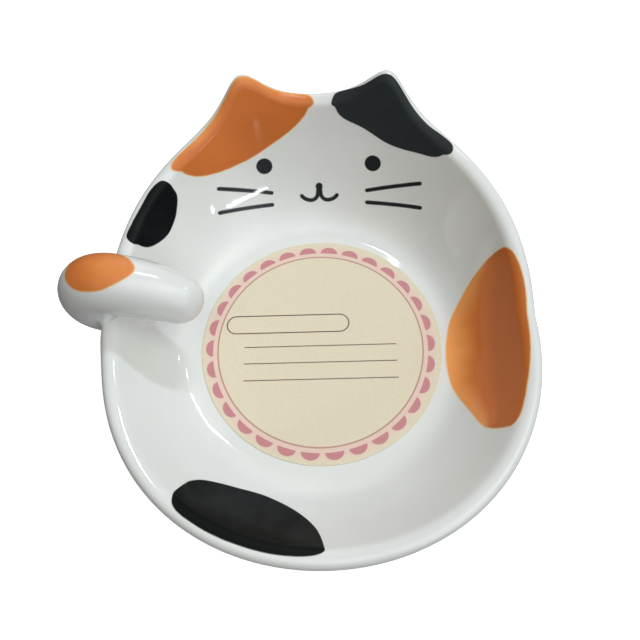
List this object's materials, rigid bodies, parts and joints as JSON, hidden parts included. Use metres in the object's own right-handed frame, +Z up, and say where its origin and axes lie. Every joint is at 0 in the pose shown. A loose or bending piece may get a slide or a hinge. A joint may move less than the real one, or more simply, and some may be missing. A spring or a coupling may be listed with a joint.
{
  "type": "spoon rest",
  "caption": "Shallow porcelain dish in the outline of a seated cat, with a raised head and ears and a fat tail hooked over the rim, for laying down a ladle or spoon.",
  "frame": {"origin": "centre of the foot ring on the plane that it stands on, below the centre of the floor", "axes": "+Z up, +Y towards the head and ears, +X to the right, so that the tail is at -X"},
  "size_m": [0.1096, 0.1124, 0.0383],
  "materials": {
    "porcelain": "clear gloss glaze over white porcelain",
    "orange_enamel": "gloss orange colour fired into the glaze",
    "black_enamel": "gloss black colour fired into the glaze",
    "label_paper": "smooth cream paper with a printed border"
  },
  "bodies": {
    "root": {"dish": "porcelain", "tail": "porcelain", "label": "label_paper", "left_ear_patch": "orange_enamel", "right_ear_patch": "black_enamel", "left_cheek_patch": "black_enamel", "right_flank_patch": "orange_enamel", "rump_patch": "black_enamel", "tail_patch": "orange_enamel", "left_eye": "black_enamel", "right_eye": "black_enamel", "nose_and_mouth": "black_enamel", "left_upper_whisker": "black_enamel", "left_lower_whisker": "black_enamel", "right_upper_whisker": "black_enamel", "right_lower_whisker": "black_enamel"}
  },
  "joints": []
}
